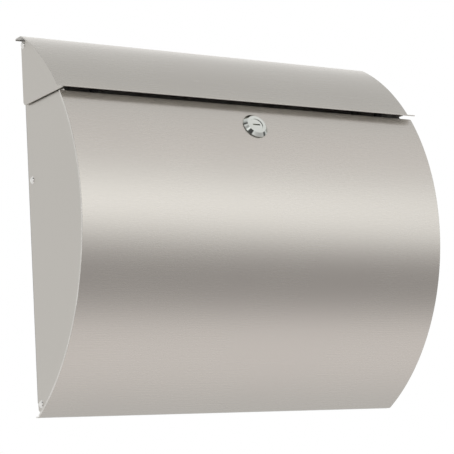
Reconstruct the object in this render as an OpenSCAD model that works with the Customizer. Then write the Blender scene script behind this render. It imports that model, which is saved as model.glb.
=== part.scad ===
// Wall mounted mailbox with a curved front: a box of two side panels and a back panel, a lid
// that lifts for posting and a locking front door that drops for emptying. The curved
// sheets of the lid and the door are wider than the box and overhang its sides.
// Millimetres. +Z is up, the back of the box is the plane y = 0 and the front faces -Y.
// The origin is the middle of the four wall holes. Outlines are drawn as (y, height above
// the bottom edge) and extruded along X.

/* [Case] */
// Width of the curved sheets
case_w = 370; // [340:1:400]
// Height of the closed case
case_h = 330; // [325:1:340]
// Depth from the back of the box to the crown of the front
case_d = 110; // [108:1:114]
// Thickness of the sheet steel
sheet = 1; // [0.8:0.1:1.2]

/* [Front curve] */
// Radius of the front, outside
curve_r = 190; // [186:1:196]
// Height of the crown above the bottom edge
crown_h = 163.5; // [160:0.5:166]
// Outer radius of the bend into the top and bottom flanges
bend_r = 3.5; // [3:0.5:4]

/* [Lid] */
// Overhang of the lid's cover beyond its cheeks
lid_overhang = 5.5; // [5:0.1:6]
// Lower edge of the lid cheeks
lid_edge_h = 270.5; // [269:0.1:272]
// Set-back of the lid cheeks from the back of the box
lid_back = 1.2; // [1:0.1:3]
// Angle on the front curve where the drip lip starts
lip_start = 35; // [34:0.5:36]
// Downward slope of the drip lip
lip_slope = 15; // [14:1:20]
// Length of the drip lip
lip_len = 10.4; // [8:0.1:12]
// Gap between the end of the lid's rear flange and the back of the box
lid_flange_gap = 1; // [0.8:0.1:2]
// Drop of the return at the end of the rear flange
lid_return = 2; // [1.6:0.1:2.2]

/* [Door] */
// Overhang of the door beyond the side panels
door_overhang = 8; // [7.5:0.5:9]
// Top edge of the door
door_top_h = 266.4; // [264:0.1:267]
// Gap between the end of the door's bottom flange and the back of the box
door_flange_gap = 11.7; // [11:0.1:13]
// Width of the hems down the sides of the door
hem_w = 7; // [4:0.5:7]

/* [Hinges] */
// Distance of the lid pins from the back of the box
lid_pin_y = 4.7; // [4.5:0.1:5]
// Height of the lid pins
lid_pin_h = 324.1; // [323.8:0.1:324.4]
// Distance of the door pins from the back of the box
door_pin_y = 6.6; // [6.4:0.1:7]
// Height of the door pins
door_pin_h = 11.7; // [11:0.1:12]
// Radius of the hinge pins
pin_r = 1.5; // [1.2:0.1:1.6]
// Running clearance between a pin and its bush, on the radius
run = 0.05; // [0.03:0.01:0.08]
// Radius of the ears that carry the lid pins
lid_ear_r = 4; // [3.6:0.1:4.1]
// Radius of the lower corners of the side panels, round the door pins
door_ear_r = 7; // [6.5:0.5:8]
// Radius of the domed rivet heads
head_r = 3.4; // [3:0.1:3.5]
// Height of the domed rivet heads
head_h = 1.7; // [1.2:0.1:2.2]

/* [Box] */
// Inset of the side panels from the front curve
side_inset = 4; // [3.5:0.5:5]
// Lower edge of the back panel
back_low_h = 13; // [12:1:16]
// Upper edge of the back panel and side panels
back_top_h = 318; // [315:0.5:318]
// Depth of the back panel's side flanges
flange_d = 14; // [12:1:16]
// Height of the box floor
floor_h = 22; // [21:1:24]
// Depth of the box floor
floor_d = 42; // [36:1:44]
// Height of the upturned lip on the floor
floor_lip_h = 14; // [8:1:18]
// Height of the rivets that join the side panels to the back panel
side_rivet_h = 204; // [190:1:220]
// Thickness of the spacers that keep the box off the wall
spacer_t = 6; // [6:0.5:8]
// Radius of the spacers
spacer_r = 10; // [8:0.5:12]

/* [Strike rail] */
// Distance of the rail's web from the back of the box
rail_y = 72; // [71.5:0.5:73]
// Lower edge of the rail's web
rail_low_h = 251; // [250:0.5:253]
// Top face of the rail
rail_top_h = 264; // [262:0.5:265]
// Front edge of the rail, measured from the back of the box
rail_front_y = 78.5; // [76:0.5:79]

/* [Wall holes] */
// Sideways distance between the wall holes
hole_dx = 280; // [240:10:300]
// Upright distance between the wall holes
hole_dz = 200; // [180:10:220]
// Radius of the wall holes
hole_r = 3.25; // [2.5:0.25:3.5]

/* [Lock] */
// Height of the lock on the front curve, as an angle above the crown
lock_angle = 25.4; // [25:0.1:27]
// Outer radius of the lock's bezel
bezel_r = 12; // [11:0.5:13]
// Radius of the bezel's face
bezel_face_r = 9.2; // [8.5:0.1:10]
// Height of the bezel
bezel_h = 3.2; // [2:0.1:4]
// Radius of the lock's threaded barrel
barrel_r = 9; // [8:0.5:9.5]
// Length of the barrel behind the bezel
barrel_l = 17; // [15:0.5:18]
// Radius of the turning plug
plug_r = 6.2; // [5:0.1:6.5]
// Length of the cam from the lock's axis
cam_l = 26; // [24:0.5:28]
// Width of the cam
cam_w = 13; // [10:0.5:14]

/* [Hidden] */
$fn = 96;

steel = [0.72, 0.71, 0.69];
inside = [0.60, 0.60, 0.58];
nylon = [0.16, 0.16, 0.17];
bright = [0.80, 0.80, 0.81];

seat = 0.05;                          // assembly gap between fixed neighbours
half_w = case_w / 2;
side_x = half_w - door_overhang;      // outer face of the side panels
side_in = side_x - sheet;             // their inner face
cheek_x = half_w - lid_overhang;      // outer face of the lid cheeks
cheek_in = cheek_x - sheet;
tab_x = side_in - 1;                  // outer face of the door's hinge tabs
curve_y = curve_r - case_d;           // centre of the front curve
side_r = curve_r - side_inset;        // front edge of the side panels
rivet_r = 1.6;                        // rivets that only fasten
side_rivet_y = 7.3;
bush_r = 2.3;                         // spigots of the hinge bushes
collar_r = 3.9;                       // collars of the hinge bushes
tab_low_h = 7.7;                      // lower and upper edges of the door's hinge tabs
tab_high_h = 20;
tab_ear_r = 5.2;
stop_gap = 0.3;                       // free gap in front of the rubber buffers
stop_r = 4.5;                         // rubber buffers in front of the rail
lid_stop_r = 3.5;                     // rubber buffers on top of the rail
lid_stop_x = 150;
lid_stop_y = rail_y + 3;
door_stop_x = 120;

// angle of a circle about the curve's centre, tangent to a level line, seen from the crown
function level_angle(r, h) = asin((h - crown_h) / r);
flange_centre_r = curve_r - bend_r;
top_bend_angle = level_angle(flange_centre_r, case_h - bend_r);
top_bend_y = curve_y - flange_centre_r * cos(top_bend_angle);
low_bend_angle = level_angle(flange_centre_r, bend_r);
low_bend_y = curve_y - flange_centre_r * cos(low_bend_angle);
return_r = 1.5;                       // outer radius of the bend into the lid's return
lip_bend_r = 2;                       // inner radius of the bend into the drip lip
lip_bend = [curve_y - (curve_r + lip_bend_r) * cos(lip_start),
            crown_h + (curve_r + lip_bend_r) * sin(lip_start)];
lock_pos = [curve_y - curve_r * cos(lock_angle), crown_h + curve_r * sin(lock_angle)];

// ---- outlines -------------------------------------------------------------------

// extrude an outline drawn as (y, height) from x0 to x1
module along_x(x0, x1) {
    translate([x0, 0, -case_h / 2])
        rotate([90, 0, 90])
            linear_extrude(x1 - x0) children();
}

// place children at a point given as x, distance in front of the back and height
module at(x, y, h) {
    translate([x, -y, h - case_h / 2]) children();
}

module curve_disc(r) {
    translate([curve_y, crown_h]) circle(r, $fn = 720);
}

// a level strip of the plane in front of the back of the box
module strip(low, high, back = 0, front = case_d + 10) {
    translate([-front, low]) square([front - back, high - low]);
}

// points along an arc; first and last can be left to the neighbouring stretches
function arc(centre, r, a0, a1, steps, first = 0, last = 0) = [
    for (i = [first : steps - last])
        let (a = a0 + (a1 - a0) * i / steps) centre + r * [cos(a), sin(a)]
];

function backwards(points) = [for (i = [len(points) - 1 : -1 : 0]) points[i]];

function turned(p, angle) = [
    p[0] * cos(angle) - p[1] * sin(angle), p[0] * sin(angle) + p[1] * cos(angle)
];

// ---- rivets, pins and bushes ------------------------------------------------------

// a solid of revolution whose axis points along +X from its base
module turned_x(points) {
    rotate([0, 90, 0]) rotate_extrude() polygon(points);
}

// domed head standing on the plane x = 0, pointing to +X
module dome_x(r, h) {
    ball_r = (r * r + h * h) / (2 * h);
    rotate([0, 90, 0])
        rotate_extrude()
            intersection() {
                translate([0, h - ball_r]) circle(ball_r);
                square([r + 1, h + 1]);
            }
}

// rivet along X: head on the plane x, shank to x - grip and a closed end behind it
module rivet(x, r, grip) {
    translate([x, 0, 0]) dome_x(head_r, head_h);
    translate([x - grip, 0, 0]) rotate([0, 90, 0]) cylinder(r = r, h = grip + 0.1);
    translate([x - grip, 0, 0]) rotate([0, -90, 0]) cylinder(r1 = r + 1.1, r2 = r + 0.5, h = 1);
}

// washer on a hinge pin, from x inwards
module pin_washer(x) {
    translate([x - 0.6, 0, 0]) rotate([0, 90, 0])
        difference() {
            cylinder(r = 3.4, h = 0.6);
            translate([0, 0, -1]) cylinder(r = pin_r + 0.1, h = 3);
        }
}

// flanged bush whose spigot fills a hole in the sheet that ends at x, with its collar
// outside
module pin_bush(x, collar) {
    turned_x([
        [pin_r + run, x - sheet - 0.5], [bush_r, x - sheet - 0.5], [bush_r, x + seat],
        [collar_r, x + seat], [collar_r, x + collar - 0.2], [collar_r - 0.2, x + collar],
        [pin_r + run, x + collar]
    ]);
}

module pair() {
    children();
    mirror([1, 0, 0]) children();
}

// ---- box --------------------------------------------------------------------------

module wall_hole_places() {
    for (x = [-1, 1], z = [-1, 1])
        translate([x * hole_dx / 2, 0, z * hole_dz / 2]) rotate([90, 0, 0]) children();
}

module back_panel() color(inside) {
    difference() {
        union() {
            along_x(-side_x, side_x) strip(back_low_h, back_top_h, 0, sheet);
            pair() along_x(side_in - seat - sheet, side_in - seat)
                strip(floor_h + 5, back_top_h - 10, 0, flange_d);
        }
        wall_hole_places() translate([0, 0, -1]) cylinder(r = hole_r, h = 2 + sheet);
        pair() at(side_in - 3, side_rivet_y, side_rivet_h)
            rotate([0, 90, 0]) cylinder(r = rivet_r, h = 6);
    }
}

// nylon spacers behind the back panel, one round each wall hole
module wall_spacers() color(nylon) wall_hole_places()
    translate([0, 0, -spacer_t]) difference() {
        cylinder(r = spacer_r, h = spacer_t);
        translate([0, 0, -1]) cylinder(r = hole_r, h = spacer_t + 2);
    }

// the front curve inset, with an ear for the lid pin and a corner round the door pin
module side_outline() {
    rear = sheet + seat;
    low_h = door_pin_h - door_ear_r;
    difference() {
        union() {
            intersection() {
                curve_disc(side_r);
                union() {
                    strip(door_pin_h, back_top_h, rear);
                    strip(low_h, door_pin_h + 1, door_pin_y);
                }
            }
            intersection() {
                union() {
                    translate([-door_pin_y, door_pin_h]) circle(door_ear_r);
                    translate([-lid_pin_y, lid_pin_h]) circle(lid_ear_r);
                    strip(back_top_h - 1, lid_pin_h, rear, lid_pin_y + lid_ear_r);
                }
                strip(0, case_h, rear);
            }
        }
        translate([-lid_pin_y, lid_pin_h]) circle(bush_r);
        translate([-door_pin_y, door_pin_h]) circle(pin_r);
        translate([-side_rivet_y, side_rivet_h]) circle(rivet_r);
    }
}

module side_panel_right() color(steel) along_x(side_in, side_x) side_outline();
module side_panel_left() mirror([1, 0, 0]) side_panel_right();

module box_floor() color(inside) {
    edge_x = side_in - seat;
    rear = sheet + seat;
    along_x(-edge_x, edge_x) strip(floor_h, floor_h + sheet, rear, floor_d);
    along_x(-edge_x + 3, edge_x - 3)
        strip(floor_h, floor_h + floor_lip_h, floor_d - sheet, floor_d);
    along_x(-edge_x + 4, edge_x - 4) strip(floor_h, floor_h + 12, rear, rear + sheet);
    pair() along_x(edge_x - sheet, edge_x)
        strip(floor_h, floor_h + 12, flange_d + 3, floor_d - 3);
}

module strike_rail() color(inside) {
    edge_x = side_in - seat;
    difference() {
        union() {
            along_x(-edge_x, edge_x) strip(rail_low_h, rail_top_h, rail_y, rail_y + sheet);
            along_x(-edge_x, edge_x)
                strip(rail_top_h - sheet, rail_top_h, rail_y, rail_front_y);
            pair() along_x(edge_x - sheet, edge_x)
                strip(rail_low_h, rail_top_h, rail_y - 14, rail_y + sheet);
        }
        for (side = [-1, 1])
            at(side * door_stop_x, rail_y - 1, rail_low_h + 6)
                rotate([90, 0, 0]) cylinder(r = rivet_r, h = 4);
        for (side = [-1, 1])
            at(side * lid_stop_x, lid_stop_y, rail_top_h - 2) cylinder(r = rivet_r, h = 4);
    }
}

module side_rivets() color(bright) pair()
    at(0, side_rivet_y, side_rivet_h) rivet(side_x, rivet_r, 2 * sheet + 2 * seat);

module lid_hinge_bushes() color(nylon) pair()
    at(0, lid_pin_y, lid_pin_h) pin_bush(side_x, cheek_in - side_x - stop_gap);

module door_hinge_rivets() color(bright) pair()
    at(0, door_pin_y, door_pin_h) rivet(side_x, pin_r, 5);

module door_hinge_washers() color(bright) pair()
    at(0, door_pin_y, door_pin_h) pin_washer(tab_x - sheet - 0.7);

// rubber buffers on the rail, trimmed to the curve of the lid and the door
module lid_rest_buffers() color(nylon) {
    for (side = [-1, 1])
        intersection() {
            at(side * lid_stop_x, lid_stop_y, rail_top_h - 2) {
                cylinder(r = rivet_r - seat, h = 4);
                translate([0, 0, 2]) cylinder(r = lid_stop_r, h = 16);
            }
            along_x(-half_w, half_w) curve_disc(curve_r - sheet - stop_gap);
        }
}

module door_rest_buffers() color(nylon) {
    for (side = [-1, 1])
        intersection() {
            at(side * door_stop_x, rail_y - 1, rail_low_h + 6) rotate([90, 0, 0]) {
                cylinder(r = rivet_r - seat, h = 4);
                translate([0, 0, 1 + sheet]) cylinder(r = stop_r, h = 20);
            }
            along_x(-half_w, half_w) curve_disc(curve_r - sheet - stop_gap);
        }
}

// ---- lid --------------------------------------------------------------------------

// the bent sheet from the end of the return to the tip of the drip lip, t below its face
function lid_path(t) = concat(
    [[-lid_flange_gap - t, case_h - lid_return]],
    arc([-lid_flange_gap - return_r, case_h - return_r], return_r - t, 0, 90, 4),
    arc([top_bend_y, case_h - bend_r], bend_r - t, 90, 180 - top_bend_angle, 6),
    arc([curve_y, crown_h], curve_r - t, 180 - top_bend_angle, 180 - lip_start, 24, 1, 1),
    arc(lip_bend, lip_bend_r + t, -lip_start, -90 + lip_slope, 5),
    [lip_bend + turned([-lip_len, -lip_bend_r - t], lip_slope)]
);

module lid_cover() color(steel) along_x(-half_w, half_w)
    polygon(concat(lid_path(0), backwards(lid_path(sheet))));

module lid_cheek_right() color(steel) {
    corner = 4;
    difference() {
        along_x(cheek_in, cheek_x)
            intersection() {
                curve_disc(curve_r - sheet - seat);
                union() {
                    strip(lid_edge_h, case_h - bend_r, lid_back + corner);
                    strip(lid_edge_h + corner, case_h - bend_r, lid_back);
                    translate([-lid_back - corner, lid_edge_h + corner]) circle(corner);
                }
            }
        at(0, lid_pin_y, lid_pin_h) rotate([0, 90, 0]) cylinder(r = pin_r, h = case_w);
    }
}

module lid_cheek_left() mirror([1, 0, 0]) lid_cheek_right();

module lid_hinge_rivets() color(bright) pair()
    at(0, lid_pin_y, lid_pin_h) rivet(cheek_x, pin_r, cheek_x - side_in + 2.2);

module lid_hinge_washers() color(bright) pair()
    at(0, lid_pin_y, lid_pin_h) pin_washer(side_in - 0.8);

// ---- door -------------------------------------------------------------------------

// the bent sheet from the top edge to the end of the bottom flange, t below its face
function door_path(t) = concat(
    arc([curve_y, crown_h], curve_r - t, 180 - level_angle(curve_r - t, door_top_h),
        180 - low_bend_angle, 72, 0, 1),
    arc([low_bend_y, bend_r], bend_r - t, 180 - low_bend_angle, 270, 6),
    [[-door_flange_gap, t]]
);

// the hem folded back behind each side edge, reaching into the sheet in front of it
function hem_path(t) = arc([curve_y, crown_h], curve_r - t,
    180 - level_angle(curve_r, door_top_h - 3), 180 - low_bend_angle, 72);

module lock_axis() {
    at(0, -lock_pos[0], lock_pos[1]) rotate([90 - lock_angle, 0, 0]) children();
}

module door_skin() color(steel) difference() {
    union() {
        along_x(-half_w, half_w)
            polygon(concat(door_path(0), backwards(door_path(sheet))));
        pair() along_x(half_w - hem_w, half_w)
            polygon(concat(hem_path(sheet / 2), backwards(hem_path(2 * sheet))));
    }
    lock_axis() translate([0, 0, -6]) cylinder(r = barrel_r + 0.1, h = 12);
}

// plate inside the side panel that carries the door on its pin
module door_hinge_tab_right() color(steel) along_x(tab_x - sheet, tab_x)
    difference() {
        union() {
            intersection() {
                curve_disc(curve_r - sheet - seat);
                strip(tab_low_h, tab_high_h, door_pin_y);
            }
            translate([-door_pin_y, door_pin_h]) circle(tab_ear_r);
        }
        translate([-door_pin_y, door_pin_h]) circle(bush_r);
    }

module door_hinge_tab_left() mirror([1, 0, 0]) door_hinge_tab_right();

module door_hinge_bushes() color(nylon) pair()
    at(0, door_pin_y, door_pin_h) pin_bush(tab_x, 0.8);

// ---- lock, drawn with its face outwards along +Z of the lock axis -------------------

module lock_housing() color(bright) lock_axis() difference() {
    union() {
        rotate_extrude() polygon([
            [0, 0.05], [bezel_r, 0.05], [bezel_r, 0.8], [bezel_face_r, bezel_h],
            [0, bezel_h]
        ]);
        translate([0, 0, -barrel_l]) cylinder(r = barrel_r, h = barrel_l + 1);
    }
    translate([0, 0, -barrel_l - 1]) cylinder(r = plug_r, h = barrel_l + 1 + bezel_h + 1);
}

module lock_nut() color(bright) lock_axis()
    translate([0, 0, -sheet - 5.3]) difference() {
        cylinder(r = 13, h = 4, $fn = 6);
        translate([0, 0, -1]) cylinder(r = barrel_r + seat, h = 6);
    }

module lock_washer() color(bright) lock_axis()
    translate([0, 0, -sheet - 1.25]) difference() {
        cylinder(r = 12, h = 0.8);
        translate([0, 0, -1]) cylinder(r = barrel_r + seat, h = 3);
    }

module lock_plug() color(bright) lock_axis() difference() {
    union() {
        translate([0, 0, -barrel_l - 0.2])
            cylinder(r = plug_r - run, h = barrel_l + bezel_h - 0.3);
        translate([-3.5, -3.5, -barrel_l - 2.6]) cube([7, 7, 3]);
    }
    // keyway, level at rest
    translate([-3.8, -0.7, bezel_h - 12]) cube([7.6, 1.4, 14]);
    translate([0, 0, -barrel_l - 4]) cylinder(r = 1.4, h = 7);
}

module lock_cam() color(bright) lock_axis() translate([0, 0, -barrel_l - 2.3]) difference() {
    union() {
        cylinder(r = cam_w / 2, h = 2);
        translate([0, -cam_w / 2, 0]) cube([cam_l - 3, cam_w, 2]);
        translate([cam_l - 3, 0, 0]) intersection() {
            cylinder(r = cam_w / 2, h = 2);
            translate([-1, -cam_w, -1]) cube([4, 2 * cam_w, 4]);
        }
    }
    translate([-3.55, -3.55, -1]) cube([7.1, 7.1, 4]);
}

module cam_washer() color(bright) lock_axis() translate([0, 0, -barrel_l - 3.15]) difference() {
    cylinder(r = 5, h = 0.5);
    translate([0, 0, -1]) cylinder(r = 1.6, h = 3);
}

module cam_screw() color(bright) lock_axis() translate([0, 0, -barrel_l - 3.2]) {
    difference() {
        translate([0, 0, -1.8]) cylinder(r = 3, h = 1.8);
        translate([-0.4, -4, -2.4]) cube([0.8, 8, 1.2]);
    }
    translate([0, 0, -0.1]) cylinder(r = 1.4, h = 5);
}

back_panel();
side_panel_left();
side_panel_right();
box_floor();
strike_rail();
side_rivets();
wall_spacers();
lid_hinge_bushes();
lid_rest_buffers();
door_rest_buffers();
door_hinge_rivets();
door_hinge_washers();
lid_cover();
lid_cheek_left();
lid_cheek_right();
lid_hinge_rivets();
lid_hinge_washers();
door_skin();
door_hinge_tab_left();
door_hinge_tab_right();
door_hinge_bushes();
lock_housing();
lock_nut();
lock_washer();
lock_plug();
lock_cam();
cam_screw();
cam_washer();
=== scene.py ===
# Looks for the wall mounted mailbox: brushed steel sheets with rounded cut edges, domed
# rivets and a chrome lock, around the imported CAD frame. Metres, +Z up, the back of
# the box is the plane y = 0 and the front faces -Y.
import math

import bmesh
import bpy
from mathutils import Matrix, Vector


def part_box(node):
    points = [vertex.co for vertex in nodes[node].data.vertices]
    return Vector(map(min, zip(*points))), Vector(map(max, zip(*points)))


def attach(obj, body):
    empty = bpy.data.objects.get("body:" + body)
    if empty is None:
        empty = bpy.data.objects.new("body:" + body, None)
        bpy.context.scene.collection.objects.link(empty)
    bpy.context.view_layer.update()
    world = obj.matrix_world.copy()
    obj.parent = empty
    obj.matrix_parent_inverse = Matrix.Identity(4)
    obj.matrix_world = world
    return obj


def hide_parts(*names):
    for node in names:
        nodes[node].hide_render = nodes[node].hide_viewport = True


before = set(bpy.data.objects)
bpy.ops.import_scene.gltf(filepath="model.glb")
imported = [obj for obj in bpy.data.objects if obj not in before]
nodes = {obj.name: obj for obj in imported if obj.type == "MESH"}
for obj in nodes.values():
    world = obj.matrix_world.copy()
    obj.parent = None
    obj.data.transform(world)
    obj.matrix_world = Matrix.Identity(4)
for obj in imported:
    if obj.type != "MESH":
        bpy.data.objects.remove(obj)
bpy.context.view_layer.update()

# ---- sizes shared with the CAD design ------------------------------------------------

SHEET = 0.001
CURVE_R = 0.190                 # outer radius of the front curve
CROWN_H = 0.1635                # height of its crown above the bottom edge
BEND_R = 0.0035                 # bends into the top and bottom flanges
RETURN_R = 0.0015               # bend into the return of the lid's rear flange
LIP_BEND_R = 0.002              # bend into the drip lip
LIP_START = math.radians(35)
LIP_SLOPE = math.radians(15)
LIP_LENGTH = 0.0104
HEM_W = 0.007                           # hems behind the side edges of the door
HEM_DROP = 0.003                        # their start below the top edge
LID_RETURN = 0.002
EDGE = 0.00022                          # rounding of the cut sheet edges
LIP_EDGE = 0.00045                      # rounding of the lid cover's edges
SHARP = math.radians(35)                # edges sharper than this are rounded
HEM_BITE = 0.97                         # start of the hem, in sheet thicknesses

skin_low, skin_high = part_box("door_skin")
lid_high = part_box("lid_cover")[1]
BOTTOM = skin_low.z
TOP = lid_high.z
HALF_W = skin_high.x
CURVE_Y = skin_low.y + CURVE_R          # centre of the front curve
CROWN_Z = BOTTOM + CROWN_H
DOOR_TOP = skin_high.z
DOOR_FLANGE_Y = skin_high.y
LID_FLANGE_Y = lid_high.y


# ---- node materials --------------------------------------------------------------------

class Graph:
    """A material's node tree with short names for the nodes that are used here."""

    def __init__(self, name):
        self.material = bpy.data.materials.new(name)
        self.material.use_nodes = True
        self.tree = self.material.node_tree
        self.shader = self.tree.nodes["Principled BSDF"]

    def node(self, kind, **settings):
        made = self.tree.nodes.new(kind)
        for key, value in settings.items():
            setattr(made, key, value)
        return made

    def link(self, source, target):
        self.tree.links.new(source, target)

    def feed(self, target, value):
        if isinstance(value, bpy.types.NodeSocket):
            self.link(value, target)
        else:
            target.default_value = value

    def math(self, operation, first, second=0.0):
        made = self.node("ShaderNodeMath", operation=operation)
        self.feed(made.inputs[0], first)
        self.feed(made.inputs[1], second)
        return made.outputs[0]

    def mapped(self, source, scale):
        made = self.node("ShaderNodeMapping")
        self.link(source, made.inputs["Vector"])
        made.inputs["Scale"].default_value = scale
        return made.outputs["Vector"]

    def noise(self, source, scale, detail=3.0, roughness=0.5):
        made = self.node("ShaderNodeTexNoise")
        self.link(source, made.inputs["Vector"])
        made.inputs["Scale"].default_value = scale
        made.inputs["Detail"].default_value = detail
        made.inputs["Roughness"].default_value = roughness
        return made.outputs["Fac"]

    def spread(self, value, low, high, to_low, to_high):
        made = self.node("ShaderNodeMapRange")
        self.feed(made.inputs["Value"], value)
        for key, number in (("From Min", low), ("From Max", high),
                            ("To Min", to_low), ("To Max", to_high)):
            made.inputs[key].default_value = number
        return made.outputs["Result"]

    def blend(self, amount, first, second):
        made = self.node("ShaderNodeMix", data_type="RGBA")
        self.feed(made.inputs["Factor"], amount)
        self.feed(made.inputs["A"], first)
        self.feed(made.inputs["B"], second)
        return made.outputs["Result"]

    def bump(self, height, strength, distance):
        made = self.node("ShaderNodeBump")
        self.link(height, made.inputs["Height"])
        made.inputs["Strength"].default_value = strength
        made.inputs["Distance"].default_value = distance
        self.link(made.outputs["Normal"], self.shader.inputs["Normal"])


def brushed_steel(name, light, dark, grain, rough, anisotropy, use_uv=True, relief=0.006,
                  metallic=0.85):
    """Sheet steel brushed along one direction, in metres of surface.

    grain is the scale of the brushing along each of the three coordinates."""
    g = Graph(name)
    coords = g.node("ShaderNodeTexCoord")
    place = coords.outputs["UV"] if use_uv else coords.outputs["Object"]
    fine = g.noise(g.mapped(place, grain), 1.0, 4.0, 0.65)
    coarse = g.noise(g.mapped(place, [s * 0.16 for s in grain]), 1.0, 2.0)
    cloud = g.noise(coords.outputs["Object"], 9.0, 3.0)
    streaks = g.math("ADD", g.math("MULTIPLY", fine, 0.9), g.math("MULTIPLY", coarse, 0.1))
    tone = g.math("ADD", g.spread(streaks, 0.35, 0.65, 0.0, 0.55),
                  g.spread(cloud, 0.35, 0.65, 0.0, 0.45))
    g.link(g.blend(tone, (*dark, 1), (*light, 1)), g.shader.inputs["Base Color"])
    rough_tone = g.math("ADD", g.spread(streaks, 0.35, 0.65, rough - 0.01, rough + 0.01),
                        g.spread(cloud, 0.3, 0.7, -0.01, 0.01))
    g.link(rough_tone, g.shader.inputs["Roughness"])
    g.shader.inputs["Metallic"].default_value = metallic
    g.shader.inputs["Anisotropic"].default_value = anisotropy
    if use_uv:
        tangent = g.node("ShaderNodeTangent", direction_type="UV_MAP", uv_map="UVMap")
        g.link(tangent.outputs["Tangent"], g.shader.inputs["Tangent"])
    g.bump(fine, relief, 0.00001)
    return g.material


def plain_metal(name, light, dark, rough, scale=900.0, relief=0.05):
    """Plated or polished metal with fine wear marks."""
    g = Graph(name)
    coords = g.node("ShaderNodeTexCoord")
    marks = g.noise(coords.outputs["Object"], scale, 4.0, 0.6)
    cloud = g.noise(coords.outputs["Object"], scale * 0.08, 2.0)
    g.link(g.blend(g.spread(cloud, 0.35, 0.65, 0.0, 1.0), (*dark, 1), (*light, 1)),
           g.shader.inputs["Base Color"])
    g.link(g.spread(marks, 0.3, 0.7, rough * 0.7, rough * 1.3), g.shader.inputs["Roughness"])
    g.shader.inputs["Metallic"].default_value = 1.0
    g.bump(marks, relief, 0.00003)
    return g.material


def moulded(name, light, dark, rough, scale=1500.0):
    """Moulded nylon or rubber with a fine eroded surface."""
    g = Graph(name)
    coords = g.node("ShaderNodeTexCoord")
    grain = g.noise(coords.outputs["Object"], scale, 3.0, 0.6)
    g.link(g.blend(g.spread(grain, 0.35, 0.65, 0.0, 1.0), (*dark, 1), (*light, 1)),
           g.shader.inputs["Base Color"])
    g.link(g.spread(grain, 0.3, 0.7, rough - 0.06, rough + 0.06), g.shader.inputs["Roughness"])
    g.bump(grain, 0.25, 0.00004)
    return g.material


SHEET_LIGHT = (0.630, 0.605, 0.561)
SHEET_DARK = (0.610, 0.585, 0.541)
GRAIN_UV = (14.0, 2600.0, 1.0)
outer_steel = brushed_steel("outer_steel", SHEET_LIGHT, SHEET_DARK, GRAIN_UV, 0.27, 0.5)
# the door's cut edges are lighter than the sheet: partly a ground edge finish, partly a
# painted highlight for the bright line along the door's sides
edge_steel_painted_highlight = plain_metal("cut_edge_steel", (0.80, 0.78, 0.74), (0.73, 0.71, 0.67), 0.30)
side_steel = brushed_steel("side_steel", SHEET_LIGHT, SHEET_DARK, (1500.0, 1500.0, 9.0),
                           0.36, 0.0, use_uv=False)
# the inner box steel is darker and greyer than the outer sheet: painted shade for the dark
# inside of the box seen through the slot
inner_steel_painted_shade = brushed_steel("inner_steel_painted_shade", (0.56, 0.55, 0.53), (0.47, 0.46, 0.44),
                            (900.0, 900.0, 12.0), 0.40, 0.0, use_uv=False)
# the backs of the bent sheets are lighter than their faces: partly an unbrushed mill finish,
# partly painted light on the lip's underside so that its reflection in the door below the slot
# is less dark
back_face_painted_light = plain_metal("inner_face_steel", (0.78, 0.77, 0.74), (0.70, 0.69, 0.66), 0.50)
rivet_steel = plain_metal("rivet_steel", (0.86, 0.85, 0.82), (0.78, 0.77, 0.74), 0.10)
lock_chrome = plain_metal("lock_chrome", (0.76, 0.79, 0.75), (0.70, 0.73, 0.69), 0.04)
zinc = plain_metal("zinc_plated", (0.62, 0.62, 0.60), (0.50, 0.50, 0.49), 0.34, 500.0, 0.10)
nylon = moulded("nylon", (0.045, 0.045, 0.048), (0.028, 0.028, 0.030), 0.48)
rubber = moulded("buffer_rubber", (0.030, 0.030, 0.030), (0.018, 0.018, 0.018), 0.75, 2500.0)


def dress(obj, material):
    obj.data.materials.clear()
    obj.data.materials.append(material)


# ---- building pieces ---------------------------------------------------------------------

def arc(centre, radius, start, end, steps, first=0, last=0):
    """Points (y, z) along an arc; the ends can be left to the neighbouring stretches."""
    found = []
    for i in range(first, steps + 1 - last):
        a = start + (end - start) * i / steps
        found.append((centre[0] + radius * math.cos(a), centre[1] + radius * math.sin(a)))
    return found


def level_angle(radius, z):
    return math.asin((z - CROWN_Z) / radius)


def round_edges(obj, width):
    bevel = obj.modifiers.new("edges", "BEVEL")
    bevel.width = width
    bevel.segments = 2
    bevel.limit_method = "ANGLE"
    bevel.angle_limit = SHARP
    bevel.harden_normals = True


def finish_piece(obj, body, replaced, rounding=EDGE):
    """Rounds the edges, smooths the rest, ties the piece to its CAD body and hides the CAD
    parts that it replaces.
    """
    obj.data.polygons.foreach_set("use_smooth", [True] * len(obj.data.polygons))
    obj.data.set_sharp_from_angle(angle=SHARP)
    round_edges(obj, rounding)
    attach(obj, body)
    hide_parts(*replaced)


def new_object(name, bm, *materials):
    mesh = bpy.data.meshes.new(name)
    for material in materials:
        mesh.materials.append(material)
    bmesh.ops.recalc_face_normals(bm, faces=bm.faces)
    bm.to_mesh(mesh)
    bm.free()
    obj = bpy.data.objects.new(name, mesh)
    bpy.context.scene.collection.objects.link(obj)
    return obj


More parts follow.
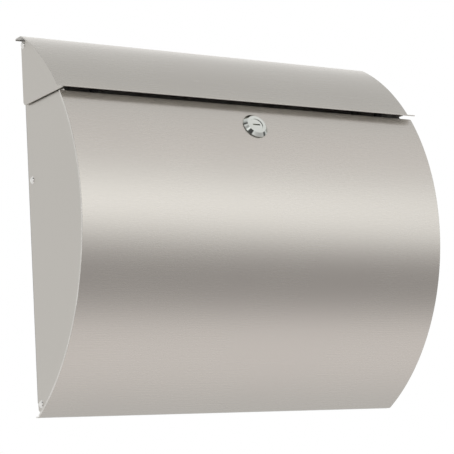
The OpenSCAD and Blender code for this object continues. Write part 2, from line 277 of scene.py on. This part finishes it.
def bent_sheet(bm, face, back, x0, x1, columns=12):
    """Adds a bent sheet between two rows of points (y, z): its face and its back.

    UV is metres of surface: along the width, then along the bend. Material 0 is for the
    face, 1 for the ends and 2 for the back."""
    layers = bm.loops.layers.uv
    uv = layers.get("UVMap") or layers.new("UVMap")
    ring = face + back[::-1]
    count = len(ring)
    lengths = [0.0]
    for a, b in zip(ring, ring[1:] + ring[:1]):
        lengths.append(lengths[-1] + math.dist(a, b))
    xs = [x0 + (x1 - x0) * i / columns for i in range(columns + 1)]
    grid = [[bm.verts.new((x, y, z)) for (y, z) in ring] for x in xs]
    for i in range(columns):
        for j in range(count):
            k = (j + 1) % count
            quad = bm.faces.new((grid[i][j], grid[i + 1][j], grid[i + 1][k], grid[i][k]))
            spots = ((xs[i], lengths[j]), (xs[i + 1], lengths[j]),
                     (xs[i + 1], lengths[j + 1]), (xs[i], lengths[j + 1]))
            for loop, spot in zip(quad.loops, spots):
                loop[uv].uv = spot
            if j >= len(face):
                quad.material_index = 2
    for column in (grid[0], grid[-1]):
        for j in range(len(face) - 1):
            cap = bm.faces.new((column[j], column[j + 1],
                                column[count - 2 - j], column[count - 1 - j]))
            cap.material_index = 1
            for loop in cap.loops:
                loop[uv].uv = (loop.vert.co.y, loop.vert.co.z)


# ---- lid ---------------------------------------------------------------------------------

curve_centre = (CURVE_Y, CROWN_Z)
bend_arm = CURVE_R - BEND_R
top_bend = level_angle(bend_arm, TOP - BEND_R)
low_bend = level_angle(bend_arm, BOTTOM + BEND_R)
top_bend_centre = (CURVE_Y - bend_arm * math.cos(top_bend), TOP - BEND_R)
low_bend_centre = (CURVE_Y - bend_arm * math.cos(low_bend), BOTTOM + BEND_R)
lip_arm = CURVE_R + LIP_BEND_R
lip_centre = (CURVE_Y - lip_arm * math.cos(LIP_START), CROWN_Z + lip_arm * math.sin(LIP_START))


def lip_point(along, below):
    """A point of the drip lip: its distance from the bend, and below its upper face."""
    down = LIP_BEND_R + below
    return (lip_centre[0] - along * math.cos(LIP_SLOPE) + down * math.sin(LIP_SLOPE),
            lip_centre[1] - along * math.sin(LIP_SLOPE) - down * math.cos(LIP_SLOPE))


def lid_path(t):
    corner = (LID_FLANGE_Y - RETURN_R, TOP - RETURN_R)
    return (
        [(LID_FLANGE_Y - t, TOP - LID_RETURN)]
        + arc(corner, RETURN_R - t, 0, math.pi / 2, 6)
        + arc(top_bend_centre, BEND_R - t, math.pi / 2, math.pi - top_bend, 10)
        + arc(curve_centre, CURVE_R - t, math.pi - top_bend, math.pi - LIP_START, 48, 1, 1)
        + arc(lip_centre, LIP_BEND_R + t, -LIP_START, -math.pi / 2 + LIP_SLOPE, 8)
        + [lip_point(LIP_LENGTH, t)]
    )


bm = bmesh.new()
bent_sheet(bm, lid_path(0.0), lid_path(SHEET), -HALF_W, HALF_W)
lid_cover = new_object("lid_cover_sheet", bm, outer_steel, outer_steel, back_face_painted_light)
finish_piece(lid_cover, "lid", ["lid_cover"], LIP_EDGE)

# ---- door --------------------------------------------------------------------------------

def door_path(t):
    radius = CURVE_R - t
    return (
        arc(curve_centre, radius, math.pi - level_angle(radius, DOOR_TOP),
            math.pi - low_bend, 160, 0, 1)
        + arc(low_bend_centre, BEND_R - t, math.pi - low_bend, 1.5 * math.pi, 10)
        + [(DOOR_FLANGE_Y, BOTTOM + t)]
    )


def hem_path(t):
    """The hem folded back behind each side edge of the door."""
    return arc(curve_centre, CURVE_R - t, math.pi - level_angle(CURVE_R, DOOR_TOP - HEM_DROP),
               math.pi - low_bend, 160)


bm = bmesh.new()
bent_sheet(bm, door_path(0.0), door_path(SHEET), -HALF_W, HALF_W)
for x0, x1 in ((-HALF_W, HEM_W - HALF_W), (HALF_W - HEM_W, HALF_W)):
    bent_sheet(bm, hem_path(HEM_BITE * SHEET), hem_path(2 * SHEET), x0, x1, 2)
door_skin = new_object("door_sheet", bm, outer_steel, edge_steel_painted_highlight, back_face_painted_light)
finish_piece(door_skin, "door", ["door_skin"])

# ---- CAD pieces that keep their shape ------------------------------------------------------

CARRIED = {
    side_steel: ["side_panel_left", "side_panel_right", "lid_cheek_left", "lid_cheek_right",
                 "door_hinge_tab_left", "door_hinge_tab_right"],
    inner_steel_painted_shade: ["back_panel", "box_floor", "strike_rail"],
    rivet_steel: ["side_rivets", "lid_hinge_rivets", "door_hinge_rivets"],
    zinc: ["lid_hinge_washers", "door_hinge_washers", "lock_nut", "lock_washer", "lock_cam",
           "cam_screw", "cam_washer"],
    lock_chrome: ["lock_housing", "lock_plug"],
    nylon: ["lid_hinge_bushes", "door_hinge_bushes", "wall_spacers"],
    rubber: ["lid_rest_buffers", "door_rest_buffers"],
}
ROUNDED = {side_steel: EDGE, inner_steel_painted_shade: EDGE, lock_chrome: 0.0003, nylon: 0.0004,
           zinc: 0.0002}
for material, names in CARRIED.items():
    for name in names:
        dress(nodes[name], material)
        if material in ROUNDED:
            round_edges(nodes[name], ROUNDED[material])

# ---- camera, light and floor ---------------------------------------------------------------

scene = bpy.context.scene
scene.view_settings.view_transform = "Standard"

CAMERA_AT = Vector((-0.8354, -1.3286, -0.2390))
CAMERA_YAW = math.radians(32.89)
CAMERA_PITCH = math.radians(8.81)
CAMERA_ROLL = math.radians(-3.36)
CAMERA_LENS = 137.64

camera = bpy.data.objects.new("camera", bpy.data.cameras.new("camera"))
scene.collection.objects.link(camera)
camera.location = CAMERA_AT
camera.rotation_mode = "QUATERNION"
ahead = Vector((math.sin(CAMERA_YAW) * math.cos(CAMERA_PITCH),
                math.cos(CAMERA_YAW) * math.cos(CAMERA_PITCH), math.sin(CAMERA_PITCH)))
level_right = Vector((math.cos(CAMERA_YAW), -math.sin(CAMERA_YAW), 0))
level_up = level_right.cross(ahead)
right = level_right * math.cos(CAMERA_ROLL) + level_up * math.sin(CAMERA_ROLL)
up = right.cross(ahead)
turn = Matrix((right, up, -ahead)).transposed()
camera.rotation_quaternion = turn.to_quaternion()
camera.data.lens = CAMERA_LENS
camera.data.clip_end = 50
scene.camera = camera

world = bpy.data.worlds.new("studio")
scene.world = world
world.use_nodes = True
tree = world.node_tree
tree.nodes.clear()


def world_node(kind, **settings):
    made = tree.nodes.new(kind)
    for key, value in settings.items():
        setattr(made, key, value)
    return made


# the studio is a horizontal tunnel of light round the X axis: a bright strip just above the
# horizon, a dark gap just below it, and soft light elsewhere. Each row is the degrees above
# the horizon seen from the front, the brightness and the tint.
NEUTRAL = (1.0, 1.0, 1.0)
ROSE = (1.0, 0.96, 0.96)
STUDIO = [
    (-180, 0.92, NEUTRAL), (-115, 0.70, NEUTRAL), (-85, 1.00, ROSE), (-55, 1.00, ROSE),
    (-40, 0.55, ROSE), (-25, 0.40, ROSE), (-12, 0.50, ROSE), (2, 1.20, NEUTRAL),
    (15, 1.60, NEUTRAL), (32, 1.00, NEUTRAL), (50, 0.90, ROSE), (75, 0.80, NEUTRAL),
    (90, 0.60, NEUTRAL), (120, 0.75, NEUTRAL), (180, 0.92, NEUTRAL),
]
# the light is weaker towards the right: (sideways direction, most brightness)
CAP_FROM = (0.44, 1.00)
CAP_TO = (0.68, 0.44)
STUDIO_STRENGTH = 2.5
# overhead on the right, a bright strip and a dark one behind it, seen in the drip lip and
# in the ridge of the lid: (degrees, change of brightness)
OVERHEAD = [(-180, 0.45), (-150, 1.0), (128, 1.0), (142, 1.7), (166, 1.7), (174, 0.45)]
OVERHEAD_GAIN = 1.7
# the dark gaps beside the light, seen in the rivets and in the sides of the lock:
# (part of the way from the left to the right, share of the light that is left)
GAPS = [
    (0.0, 1.0), (0.05, 1.0), (0.08, 0.06), (0.18, 0.06), (0.21, 1.0), (0.24, 0.06),
    (0.36, 0.06), (0.42, 1.0), (0.93, 1.0), (0.96, 0.10), (1.0, 0.10),
]


def wired(made, *sources):
    for slot, source in zip(made.inputs, sources):
        if isinstance(source, bpy.types.NodeSocket):
            tree.links.new(source, slot)
        else:
            slot.default_value = source
    return made.outputs[0]


def ramp_of(share, stops, kind):
    made = world_node("ShaderNodeValToRGB")
    made.color_ramp.interpolation = kind
    for i, (place, colour) in enumerate(stops):
        if i < 2:
            stop = made.color_ramp.elements[i]
            stop.position = place
        else:
            stop = made.color_ramp.elements.new(place)
        stop.color = (*colour, 1)
    return wired(made, share)


direction = world_node("ShaderNodeTexCoord")
split = world_node("ShaderNodeSeparateXYZ")
tree.links.new(direction.outputs["Generated"], split.inputs[0])
forward = wired(world_node("ShaderNodeMath", operation="MULTIPLY"), split.outputs["Y"], -1.0)
angle = wired(world_node("ShaderNodeMath", operation="ARCTAN2"), split.outputs["Z"], forward)
turn_share = wired(world_node("ShaderNodeMapRange"), angle, -math.pi, math.pi)
tunnel = ramp_of(turn_share, [((degrees + 180) / 360,
                               [brightness * part / STUDIO_STRENGTH for part in tint])
                              for degrees, brightness, tint in STUDIO], "B_SPLINE")
side_share = wired(world_node("ShaderNodeMapRange"), split.outputs["X"], -1.0, 1.0)
gaps = ramp_of(side_share, [(place, (level,) * 3) for place, level in GAPS], "LINEAR")
in_front = wired(world_node("ShaderNodeMapRange"), forward, 0.0, 0.25)
gaps_in_front = world_node("ShaderNodeMix", data_type="RGBA")
tree.links.new(in_front, gaps_in_front.inputs["Factor"])
gaps_in_front.inputs["A"].default_value = (1, 1, 1, 1)
tree.links.new(gaps, gaps_in_front.inputs["B"])
cap = wired(world_node("ShaderNodeMapRange"), split.outputs["X"], CAP_FROM[0], CAP_TO[0],
            CAP_FROM[1], CAP_TO[1])
capped = wired(world_node("ShaderNodeVectorMath", operation="MINIMUM"), tunnel, cap)
overhead = ramp_of(turn_share, [((degrees + 180) / 360, (level / OVERHEAD_GAIN,) * 3)
                                for degrees, level in OVERHEAD], "LINEAR")
overhead_gain = wired(world_node("ShaderNodeVectorMath", operation="MULTIPLY"), overhead,
                      (OVERHEAD_GAIN,) * 3)
on_the_right = wired(world_node("ShaderNodeMapRange"), split.outputs["X"], 0.15, 0.35)
overhead_right = world_node("ShaderNodeMix", data_type="RGBA")
tree.links.new(on_the_right, overhead_right.inputs["Factor"])
overhead_right.inputs["A"].default_value = (1, 1, 1, 1)
tree.links.new(overhead_gain, overhead_right.inputs["B"])
with_gaps = wired(world_node("ShaderNodeVectorMath", operation="MULTIPLY"), capped,
                  gaps_in_front.outputs["Result"])
shaped = wired(world_node("ShaderNodeVectorMath", operation="MULTIPLY"), with_gaps,
               overhead_right.outputs["Result"])
lit = world_node("ShaderNodeBackground")
tree.links.new(shaped, lit.inputs["Color"])
lit.inputs["Strength"].default_value = STUDIO_STRENGTH
white = world_node("ShaderNodeBackground")
white.inputs["Color"].default_value = (1, 1, 1, 1)
path_kind = world_node("ShaderNodeLightPath")
choose = world_node("ShaderNodeMixShader")
tree.links.new(path_kind.outputs["Is Camera Ray"], choose.inputs[0])
tree.links.new(lit.outputs[0], choose.inputs[1])
tree.links.new(white.outputs[0], choose.inputs[2])
out = world_node("ShaderNodeOutputWorld")
tree.links.new(choose.outputs[0], out.inputs["Surface"])

FLOOR_Z = -1.3
bm = bmesh.new()
bmesh.ops.create_grid(bm, x_segments=1, y_segments=1, size=12.0,
                      matrix=Matrix.Translation((0, 0, FLOOR_Z)))
g = Graph("studio_floor")
g.shader.inputs["Base Color"].default_value = (0.86, 0.86, 0.85, 1)
g.shader.inputs["Roughness"].default_value = 0.9
floor = new_object("floor", bm, g.material)
floor.visible_glossy = False
floor.visible_diffuse = False
